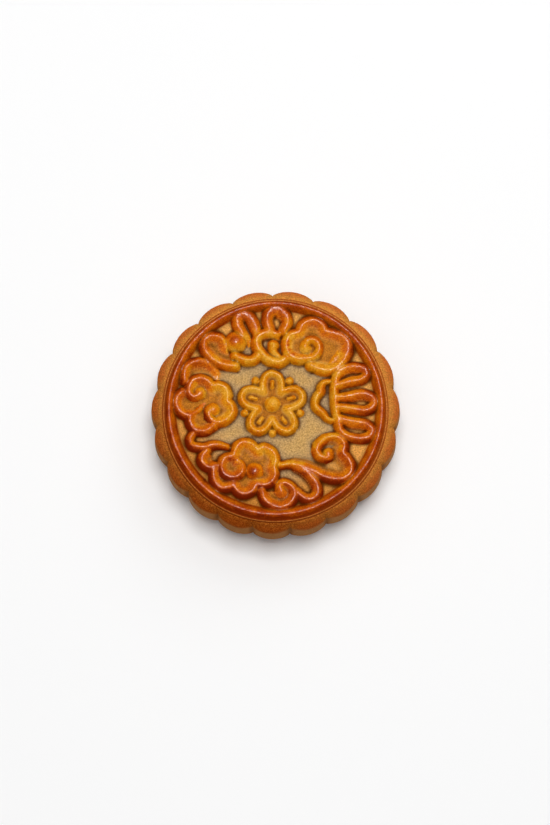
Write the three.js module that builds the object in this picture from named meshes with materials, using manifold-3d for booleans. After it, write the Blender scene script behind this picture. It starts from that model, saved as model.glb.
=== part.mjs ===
// A baked mooncake with a notched edge, a raised rim and a rope-like flower relief on its top.
// Millimetres, +Z up. The origin is the middle of the flat underside.
import * as THREE from "three";
import { mergeVertices } from "three/addons/utils/BufferGeometryUtils.js";
import Module from "manifold-3d";

// The cake and its edge.
const LOBES = 19; // scallops round the edge
const STEPS_A_LOBE = 6; // facets across one scallop
const LOBE_ROUNDNESS = 0.62; // under 1 gives full tips and sharp notches
const FIRST_NOTCH_DEG = 90.9;
const NOTCH_DRIFT_DEG = 3.5; // how far the scallops bunch up on one side
const NOTCH_DRIFT_TOWARDS_DEG = 150;
const NOTCH_LEAD_DEG = -1.2;

// The outline of the side: height, radius at a scallop's tip, radius in the notch beside it.
// The scallops' tops slope outwards from the rim, and their sides bulge a little.
const SIDE = [
  { z: 0, tip: 0, notch: 0 },
  { z: 0, tip: 39.2, notch: 37.7 },
  { z: 0.8, tip: 40.0, notch: 38.4 },
  { z: 3.4, tip: 40.5, notch: 38.8 },
  { z: 10, tip: 41.0, notch: 39.2 },
  { z: 18, tip: 40.7, notch: 38.9 },
  { z: 22.8, tip: 40.3, notch: 38.6 },
  { z: 24.3, tip: 39.7, notch: 38.3 },
  { z: 25.6, tip: 38.4, notch: 37.8 },
];
const DEPTH_SHARE = 0.988; // the cake is this much shorter front to back than it is wide

// The raised rim, inside the scallops: height and radius, from the groove at its foot inwards.
const RIM = [
  { z: 26.9, radius: 36.7 },
  { z: 26.7, radius: 36.1 },
  { z: 27.8, radius: 35.7 },
  { z: 29.3, radius: 35.2 },
  { z: 30.0, radius: 34.5 },
  { z: 29.5, radius: 33.7 },
  { z: 28.3, radius: 32.8 },
];
const FIELD_RADIUS = 32.1;
const FIELD = 27.2; // height of the sunken field
const RIM_SHIFT = { x: -0.15, y: 0.25 }; // the rim sits a little off the middle of the scallops

// The relief on the field.
const CREST = 2.3; // how far a rope's crest stands above the field
const SUNK = 0.35; // how far under the field a rope or a bud is widest
const ROPE_SIDES = 8;
const ROPE_STEP = 2.4; // facet length along a rope
const END_ROUNDING = 1; // a rope's free end is this share of its half width long
const JOINT_ROUNDING = 0.4; // the same where two lengths of one rope meet
const TURN_A_LENGTH_DEG = 200; // a rope that turns further is made in two lengths
const INSIDE_BEND = 0.85; // the inner side of a bend stays within this share of its radius
const DOME_SIDES = 10;

// Each rope runs along a smooth curve through its points. half is its half width,
// and ends are the shares of that width left at its start and its end.
const ROPES = [
  // arch at the top
  { half: 1.8, path: [[2.5, 25.8], [3.3, 28], [3.6, 30.4], [1.7, 33], [-1.6, 32.5], [-3.1, 29.2],
    [-1.8, 26]] },
  // arch beside it
  { half: 1.8, path: [[-9.3, 22.2], [-11.6, 25.4], [-13, 28.6], [-11.7, 31], [-8.6, 30.8],
    [-6.4, 28.4], [-5.5, 25.7]] },
  // comma round the bud, and the link to the next motif
  { half: 1.95, ends: [0.6, 1.1], path: [[-16.2, 20.4], [-17.3, 23.2], [-20.1, 24.5], [-23.2, 23.1],
    [-23.2, 20], [-20.4, 16.7], [-17, 14.6], [-13.5, 14.7]] },
  { half: 1.9, path: [[-13, 17.7], [-10.4, 16.4], [-8.2, 16.2], [-6.1, 18]] },
  // ring with a bean in it
  { half: 1.8, ends: [0.7, 1], path: [[1.4, 24.2], [-0.3, 25.4], [-3.6, 25.3], [-6.4, 23.1],
    [-5.7, 20.6], [-3.3, 17.8], [-0.7, 15.9], [1.6, 16], [3.2, 16.8]] },
  { half: 1.9, ends: [1, 0.6], path: [[-0.8, 21.4], [-0.4, 19.6], [1.3, 18]] },
  // cloud of three curls
  { half: 1.85, ends: [0.9, 1], path: [[9.6, 21.3], [10.6, 23], [12.8, 23], [14.3, 20.6],
    [13.3, 18.3], [11, 17], [7.1, 16.9], [4.4, 18.4], [3.2, 21.5], [4.4, 24.6], [7.5, 25.7]] },
  { half: 1.9, path: [[7.5, 25.7], [8.9, 28.2], [11.9, 29.7], [15, 28.4], [16.2, 25.9]] },
  { half: 1.95, path: [[16.2, 25.9], [19.6, 25], [22.8, 23.2], [23.6, 19.7], [22.1, 16.2],
    [19.6, 13.6], [16, 12.8], [11.9, 14.5]] },
  // comb: a back with three fingers, and the wavy strand beside it
  { half: 1.7, path: [[19.1, 8.2], [19.05, 4.5], [19.5, -1.2], [20.3, -5.5]] },
  { half: 1.7, path: [[19.9, 7.8], [22.7, 8.7], [26.5, 9.7], [29.3, 10.9], [29, 13.2], [25, 14.5],
    [20.8, 13], [19.2, 9.5]] },
  { half: 1.7, path: [[19.5, 4.3], [23.1, 4.5], [28.1, 5.5], [31.5, 4], [31.7, 1.3], [29, 0],
    [24.1, 0.5], [19.6, 1.2]] },
  { half: 1.7, path: [[19.9, -2.2], [25, -3.7], [29.3, -4.5], [31.2, -6.7], [29.3, -8.7],
    [24.6, -8.8], [21.2, -6.9]] },
  { half: 1.5, ends: [0.7, 0.7], path: [[17.3, 9.4], [15.1, 7.9], [14.6, 5.7], [13.1, 3.8],
    [13.1, 1.2], [15.8, -1.4], [17.6, -3.3]] },
  // scroll with a long tail, and the strand under it
  { half: 1.9, path: [[17.2, -14], [15.3, -15.6], [13.3, -13.8], [13.9, -11], [17.2, -8.9],
    [20.8, -9.3], [22.4, -12.1], [21.8, -14.1]] },
  { half: 1.9, ends: [1, 0.8], path: [[21.8, -14.1], [24, -16.9], [24.3, -20], [21.9, -22.1],
    [18, -22.2], [14.1, -21], [10.8, -19], [6.5, -18], [2, -18.2]] },
  { half: 1.8, ends: [0.7, 0.9], path: [[5.2, -18.2], [8.4, -19.3], [11.5, -21.6], [13.6, -24.8],
    [13.2, -27.9], [10.6, -29.2], [7.8, -27.7], [6.9, -26.8]] },
  // curl at the bottom
  { half: 1.8, path: [[1.8, -27], [1.3, -24.8], [3.6, -23.9], [5.9, -25.9], [5.6, -29.2],
    [2.6, -31.3], [-0.7, -31.1], [-3.6, -29], [-4.6, -26.3]] },
  // lower flower: five petals and a swirl
  { half: 1.9, path: [[-13.5, -14.7], [-12.7, -11.7], [-9.9, -10.4], [-7, -11.4], [-5.8, -12.9]] },
  { half: 1.9, path: [[-5.8, -12.9], [-3.8, -12.1], [-1.2, -13.3], [0.1, -15.6], [-0.7, -18.6]] },
  { half: 1.9, path: [[-0.7, -18.6], [-0.5, -21.5], [-2.5, -24.1], [-4.6, -24.4], [-6.1, -23.9]] },
  { half: 1.9, path: [[-6.1, -23.9], [-7.9, -26.5], [-10.1, -27.4], [-13.1, -25.6], [-13.7, -24.2]] },
  { half: 1.9, path: [[-13.7, -24.2], [-17.5, -25.1], [-19.9, -23], [-20.1, -19.6], [-19.6, -18.3]] },
  { half: 1.8, ends: [0.7, 1], path: [[-12.1, -16.3], [-10.9, -18.9], [-12.7, -21.5], [-15.7, -21.3],
    [-17.7, -18.7], [-16.8, -15.8], [-13.6, -14.7]] },
  // two hooks between the flowers
  { half: 1.9, ends: [0.8, 0.7], path: [[-26.6, -7.9], [-27.9, -10.1], [-26.4, -11.8], [-23, -12.1],
    [-19.5, -11.3], [-15.6, -12.2]] },
  { half: 1.9, ends: [0.8, 1], path: [[-21.9, -13.1], [-24, -16], [-23, -18.1], [-20.9, -18.8],
    [-19.6, -18.3]] },
  // left flower: a curl, two lobes, a second curl and a bent midrib
  { half: 1.9, path: [[-24.5, 5.4], [-26.6, 4.8], [-28.2, 7.2], [-26.6, 9.6], [-23.8, 10.5],
    [-21.4, 9.1], [-20.7, 7.9]] },
  { half: 1.9, path: [[-20.7, 7.9], [-18.4, 8.4], [-16, 7.1], [-15.5, 4.6], [-15.8, 3.1]] },
  { half: 1.9, path: [[-15.8, 3.1], [-13.9, -0.2], [-15.6, -3], [-18.6, -3.9], [-21.2, -2.4],
    [-21.2, 0.2], [-19.5, 0.4]] },
  { half: 1.8, path: [[-30.1, 5.9], [-32, 3.7], [-31.6, 0.6], [-29.5, -1.4], [-27.3, -1.8]] },
  { half: 1.3, path: [[-27.3, -1.8], [-25.1, -0.2], [-22.5, 2.6], [-21.2, 3.4]] },
  { half: 1.8, path: [[-27.3, -1.9], [-27.6, -4.6], [-25.3, -6.8], [-22.1, -6.5], [-20.1, -5.3]] },
  // petal above the left flower
  { half: 1.8, ends: [1, 0.6], path: [[-29.7, 9.4], [-29.3, 13.2], [-26.6, 15.4], [-23, 15.9],
    [-19.9, 14.3], [-18.5, 12.2]] },
];

// Round buds: place, radius and height above the field.
const BUDS = [
  { x: -13, y: 22, radius: 3.2, rise: 2.3 },
  { x: -13.9, y: 23, radius: 1.3, rise: 2.7 },
  { x: 16.4, y: -14.3, radius: 2.4, rise: 2.1 },
  { x: 1.9, y: -26.9, radius: 2.6, rise: 2.2 },
  { x: -6.8, y: -20.3, radius: 2.85, rise: 2.5 },
  { x: -24.7, y: 5.6, radius: 2.1, rise: 2.2 },
  { x: -19.7, y: -0.4, radius: 2.2, rise: 2.2 },
];

// Low swellings that fill the petals: place, half length, half breadth, turn and height.
const FLOORS = [
  { x: -19.6, y: 20.3, long: 4.6, broad: 3.2, turn: 60, rise: 1.2 },
  { x: 11.8, y: 26.2, long: 3.8, broad: 3.0, turn: 0, rise: 1.2 },
  { x: 18.6, y: 19.2, long: 5.4, broad: 4.6, turn: 60, rise: 1.3 },
  { x: 24.4, y: 11.4, long: 4.8, broad: 2.0, turn: 8, rise: 1.0 },
  { x: 26, y: 2.7, long: 5.6, broad: 1.9, turn: 2, rise: 1.0 },
  { x: 26, y: -6.2, long: 4.9, broad: 2.2, turn: -8, rise: 1.0 },
  { x: 19.6, y: -18.2, long: 4.4, broad: 3.0, turn: -20, rise: 1.2 },
  { x: -9.6, y: -18.3, long: 9.6, broad: 8.2, turn: 10, rise: 1.2 },
  { x: -22.6, y: 2, long: 8.6, broad: 5.6, turn: 0, rise: 1.2 },
];

// The ornament in the middle: an open blossom of five rope petals round a button, with a leaf
// between each two petals.
const BLOSSOM = { x: -1, y: 1.6, petals: 5, firstPetalDeg: 90 };
const PETAL = { reach: 10.3, waist: 5.0, half: 1.25, spreadDeg: 24 };
const PIP = { from: 5.6, to: 7.3, half: 1.0 };
const BUTTON = { radius: 2.7, rise: 2.3 };
const LEAF = { from: 8.8, to: 10.6, half: 0.95 };

const wasm = await Module();
wasm.setup();

const radians = THREE.MathUtils.degToRad;

// A three.js geometry as a solid for joining: only its places count, with shared corners merged.
function solid(geometry) {
  const bare = geometry.clone();
  bare.deleteAttribute("normal");
  bare.deleteAttribute("uv");
  const merged = mergeVertices(bare, 1e-4);
  return new wasm.Manifold(
    new wasm.Mesh({
      numProp: 3,
      vertProperties: merged.attributes.position.array,
      triVerts: new Uint32Array(merged.index.array),
    }),
  );
}

// The joined solid as a three.js geometry again.
function geometryOf(joined) {
  const mesh = joined.getMesh();
  const geometry = new THREE.BufferGeometry();
  geometry.setAttribute("position", new THREE.BufferAttribute(mesh.vertProperties, 3));
  geometry.setIndex(new THREE.BufferAttribute(mesh.triVerts, 1));
  geometry.computeVertexNormals();
  return geometry;
}

// The angle of a notch. The scallops are not quite even: they bunch up on one side.
function notchAngle(number) {
  const even = radians(FIRST_NOTCH_DEG + (360 / LOBES) * number);
  const drift = NOTCH_DRIFT_DEG * Math.cos(even - radians(NOTCH_DRIFT_TOWARDS_DEG));
  return even + radians(NOTCH_LEAD_DEG + drift);
}

// The plain cake: a turned profile whose columns are then spread into scallops.
function cakeBody() {
  const rows = [
    ...SIDE,
    ...RIM.map(({ z, radius }) => ({ z, tip: radius, notch: radius, rim: true })),
    { z: FIELD, tip: FIELD_RADIUS, notch: FIELD_RADIUS, rim: true },
    { z: FIELD, tip: 0, notch: 0, rim: true },
  ];
  const columns = LOBES * STEPS_A_LOBE;
  const profile = rows.map(({ z, tip }) => new THREE.Vector2(tip, z));
  const body = new THREE.LatheGeometry(profile, columns);
  const place = body.attributes.position;
  for (let i = 0; i < place.count; i += 1) {
    const row = rows[i % rows.length];
    const column = Math.floor(i / rows.length) % columns;
    const lobe = Math.floor(column / STEPS_A_LOBE);
    const across = (column % STEPS_A_LOBE) / STEPS_A_LOBE;
    const angle = THREE.MathUtils.lerp(notchAngle(lobe), notchAngle(lobe + 1), across);
    const fullness = Math.sin(Math.PI * across) ** LOBE_ROUNDNESS;
    const radius = THREE.MathUtils.lerp(row.notch, row.tip, fullness);
    const x = radius * Math.cos(angle);
    const y = radius * Math.sin(angle);
    if (row.rim) place.setXYZ(i, x + RIM_SHIFT.x, y + RIM_SHIFT.y, row.z);
    else place.setXYZ(i, x, y * DEPTH_SHARE, row.z);
  }
  return solid(body);
}

// A curve just under the field through the given points.
function fieldCurve(path) {
  const points = path.map(([x, y]) => new THREE.Vector3(x, y, FIELD - SUNK));
  return new THREE.CatmullRomCurve3(points, false, "centripetal");
}

// How sharply a curve bends to its left at a place along it, in turns of one radian a millimetre.
function bend(curve, length, at) {
  const reach = 0.4 / length;
  const before = curve.getTangentAt(Math.max(0, at - reach));
  const after = curve.getTangentAt(Math.min(1, at + reach));
  const span = (Math.min(1, at + reach) - Math.max(0, at - reach)) * length;
  return (before.x * after.y - before.y * after.x) / span;
}

// Where a rope is parted, so that no length of it curls back over itself.
function partings(curve, length) {
  const pieces = Math.ceil(length / ROPE_STEP);
  const cuts = [0];
  let turned = 0;
  for (let i = 1; i < pieces; i += 1) {
    turned += (Math.abs(bend(curve, length, i / pieces)) * length) / pieces;
    if (turned > radians(TURN_A_LENGTH_DEG)) {
      cuts.push(i / pieces);
      turned = 0;
    }
  }
  return [...cuts, 1];
}

// One length of rope: a capsule laid along part of the curve, half sunk in the field.
function ropeLength(curve, from, to, { half, ends = [1, 1], rise = CREST }) {
  const length = curve.getLength();
  const steps = Math.max(1, Math.round(((to - from) * length) / ROPE_STEP));
  const capsule = new THREE.CapsuleGeometry(1, steps, 2, ROPE_SIDES, steps);
  const place = capsule.attributes.position;
  for (let i = 0; i < place.count; i += 1) {
    const along = THREE.MathUtils.clamp(place.getY(i) / steps + 0.5, 0, 1);
    const beyond = place.getY(i) - (along - 0.5) * steps;
    const at = THREE.MathUtils.lerp(from, to, along);
    const share = THREE.MathUtils.lerp(ends[0], ends[1], at);
    const rounding = at === 0 || at === 1 ? END_ROUNDING : JOINT_ROUNDING;
    const centre = curve.getPointAt(at);
    const ahead = curve.getTangentAt(at);
    const curl = bend(curve, length, at);
    let side = place.getX(i) * half * share;
    if (-side * curl > INSIDE_BEND) side = -INSIDE_BEND / curl;
    const forward = beyond * rounding * half * share;
    place.setXYZ(
      i,
      centre.x + side * ahead.y + forward * ahead.x,
      centre.y - side * ahead.x + forward * ahead.y,
      centre.z + place.getZ(i) * (SUNK + rise * (0.5 + share / 2)),
    );
  }
  return solid(capsule);
}

function rope(shape) {
  const curve = fieldCurve(shape.path);
  const cuts = partings(curve, curve.getLength());
  return cuts.slice(1).map((to, i) => ropeLength(curve, cuts[i], to, shape));
}

// A low round or oval swelling, half sunk in the field.
function swelling({ x, y, long, broad, turn = 0, rise }) {
  const dome = new THREE.SphereGeometry(1, DOME_SIDES, DOME_SIDES / 2);
  dome.rotateX(Math.PI / 2);
  dome.scale(long, broad, rise + SUNK);
  dome.rotateZ(radians(turn));
  dome.translate(x, y, FIELD - SUNK);
  return solid(dome);
}

function bud({ x, y, radius, rise }) {
  return swelling({ x, y, long: radius, broad: radius, rise });
}

// The middle ornament, worked out petal by petal.
function blossom() {
  const at = (reach, degrees) => [
    BLOSSOM.x + reach * Math.cos(radians(degrees)),
    BLOSSOM.y + reach * Math.sin(radians(degrees)),
  ];
  const petalTurn = 360 / BLOSSOM.petals;
  const waisted = (PETAL.waist + PETAL.reach) / 2;
  const shoulder = PETAL.reach - 0.6;
  const pieces = [bud({ x: BLOSSOM.x, y: BLOSSOM.y, ...BUTTON })];
  for (let i = 0; i < BLOSSOM.petals; i += 1) {
    const middle = BLOSSOM.firstPetalDeg + i * petalTurn;
    const between = middle + petalTurn / 2;
    const path = [
      at(PETAL.waist, between - petalTurn),
      at(waisted, middle - PETAL.spreadDeg),
      at(shoulder, middle - PETAL.spreadDeg / 2),
      at(PETAL.reach, middle),
      at(shoulder, middle + PETAL.spreadDeg / 2),
      at(waisted, middle + PETAL.spreadDeg),
      at(PETAL.waist, between),
    ];
    const pip = [at(PIP.from, middle), at(PIP.to, middle)];
    const leaf = [at(LEAF.from, between), at(LEAF.to, between)];
    pieces.push(...rope({ half: PETAL.half, path }));
    pieces.push(...rope({ half: PIP.half, ends: [0.6, 1], path: pip, rise: CREST - 0.5 }));
    pieces.push(...rope({ half: LEAF.half, ends: [1, 0.5], path: leaf, rise: CREST - 0.5 }));
  }
  return pieces;
}

const crust = new THREE.MeshStandardMaterial({ color: "#b8702a", roughness: 0.5, metalness: 0 });

const cake = wasm.Manifold.union([
  cakeBody(),
  ...ROPES.flatMap(rope),
  ...BUDS.map(bud),
  ...FLOORS.map(swelling),
  ...blossom(),
]);

const mooncake = new THREE.Mesh(geometryOf(cake), crust);
mooncake.name = "mooncake";

// The scallops aren't even, so the cake is moved until its outer box is centred on the origin.
mooncake.geometry.computeBoundingBox();
const middle = mooncake.geometry.boundingBox.getCenter(new THREE.Vector3());
mooncake.position.set(-middle.x, -middle.y, 0);

const part = new THREE.Group();
part.add(mooncake);
export default part;
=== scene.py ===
"""Dresses a moulded mooncake: the glazed relief on its top, its scalloped crust and a plain stage."""

import math
from typing import NamedTuple

import bmesh
import bpy
import numpy as np
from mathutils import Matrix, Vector


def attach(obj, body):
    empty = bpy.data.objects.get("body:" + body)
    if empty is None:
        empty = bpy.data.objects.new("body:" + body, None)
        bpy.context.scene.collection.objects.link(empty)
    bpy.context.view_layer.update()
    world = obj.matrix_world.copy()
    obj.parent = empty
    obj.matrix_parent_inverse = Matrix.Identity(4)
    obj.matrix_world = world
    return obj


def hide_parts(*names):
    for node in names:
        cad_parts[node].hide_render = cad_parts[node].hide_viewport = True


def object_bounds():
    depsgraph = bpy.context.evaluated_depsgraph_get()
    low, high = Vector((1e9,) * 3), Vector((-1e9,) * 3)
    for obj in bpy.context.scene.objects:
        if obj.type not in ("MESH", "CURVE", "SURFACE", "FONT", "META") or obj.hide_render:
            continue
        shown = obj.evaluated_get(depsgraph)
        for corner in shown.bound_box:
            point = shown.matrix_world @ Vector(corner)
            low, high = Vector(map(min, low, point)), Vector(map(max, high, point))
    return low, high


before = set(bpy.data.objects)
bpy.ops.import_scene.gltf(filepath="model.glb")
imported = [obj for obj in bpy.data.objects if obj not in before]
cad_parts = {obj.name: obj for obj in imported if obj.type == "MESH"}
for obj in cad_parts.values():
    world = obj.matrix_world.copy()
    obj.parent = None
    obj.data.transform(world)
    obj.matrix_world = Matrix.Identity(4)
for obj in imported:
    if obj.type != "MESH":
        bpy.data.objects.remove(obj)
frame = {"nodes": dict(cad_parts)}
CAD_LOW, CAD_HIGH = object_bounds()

bl_info = {
    "name": "Moulded mooncake",
    "version": (1, 0, 0),
    "blender": (4, 5, 0),
    "location": "View3D > Sidebar > Mooncake",
    "description": "Builds a baked mooncake with a rope-like flower relief, and its stage",
    "category": "Add Mesh",
}

NODE = "mooncake"
PIECE = "mooncake_crust"
SLOT = "baked_crust"
MM = 0.001  # lengths below are in millimetres, and Blender's are in metres


# ---------------- the form


class Rope(NamedTuple):
    """A moulded rope: its half width, its points, and the share of its width at either end."""

    half: float
    path: list
    start: float = 1
    end: float = 1
    levels: tuple = (1, 1, 1)  # share of the usual crest height at its start, middle and end
    slopes: tuple = (1, 1, 1)  # the same share of its hollow's slope


class Hollow(NamedTuple):
    """A dish framed by ropes, its floor's height over the field, and its inner slope's width."""

    frame: list  # a minus turns a rope round, so that the frame runs one way
    floor: float
    slope: float


class Bud(NamedTuple):
    """A round bud, with a small raised tip on top."""

    x: float
    y: float
    radius: float
    rise: float
    tip: float = 0


LOBES = 19
LOBE_ROUNDNESS = 0.62
FIRST_NOTCH_DEG = 90.9
NOTCH_DRIFT_DEG = 3.5
NOTCH_DRIFT_TOWARDS_DEG = 150
NOTCH_LEAD_DEG = -1.2
NOTCH_DIP = 0.4  # how far the shelf sinks towards a notch
DEPTH_SHARE = 0.988

# Height, radius at a scallop's tip and radius in a notch, from the rim's foot to the underside.
SIDE = [
    (26.9, 36.75, 36.75), (26.6, 37.5, 37.2), (25.7, 38.6, 37.85), (24.3, 39.7, 38.3),
    (22.8, 40.3, 38.6), (18, 40.7, 38.9), (10, 41, 39.2), (3.4, 40.5, 38.8),
    (0.8, 40, 38.4), (0, 39.2, 37.7),
]
SHOULDER = 22.8
FOOT = 0.8
UNDERSIDE_SHARE = 0.04  # how far the underside's rows draw in before the flat cap
# Radius and height of the rim, from the sunken field outwards to the groove and ledge at its foot.
RIM = [
    (31.9, 27.2), (32.4, 27.6), (33.2, 28.95), (33.55, 29.62), (34, 29.9), (34.6, 30),
    (35.15, 29.7), (35.45, 28.6), (35.65, 27.3), (35.8, 26.95), (35.95, 26.95), (36.1, 27.15),
    (36.28, 27.15), (36.4, 26.83), (36.55, 26.83), (36.75, 26.9),
]
RIM_CREST = 34.6
RIM_SHIFT = (-0.05, 0.12)
LEDGE_SHIFT = (-0.1, -0.25)
LEDGE_RADIUS = 36.1
FIELD = 27.2
FIELD_RADIUS = 32

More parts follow.
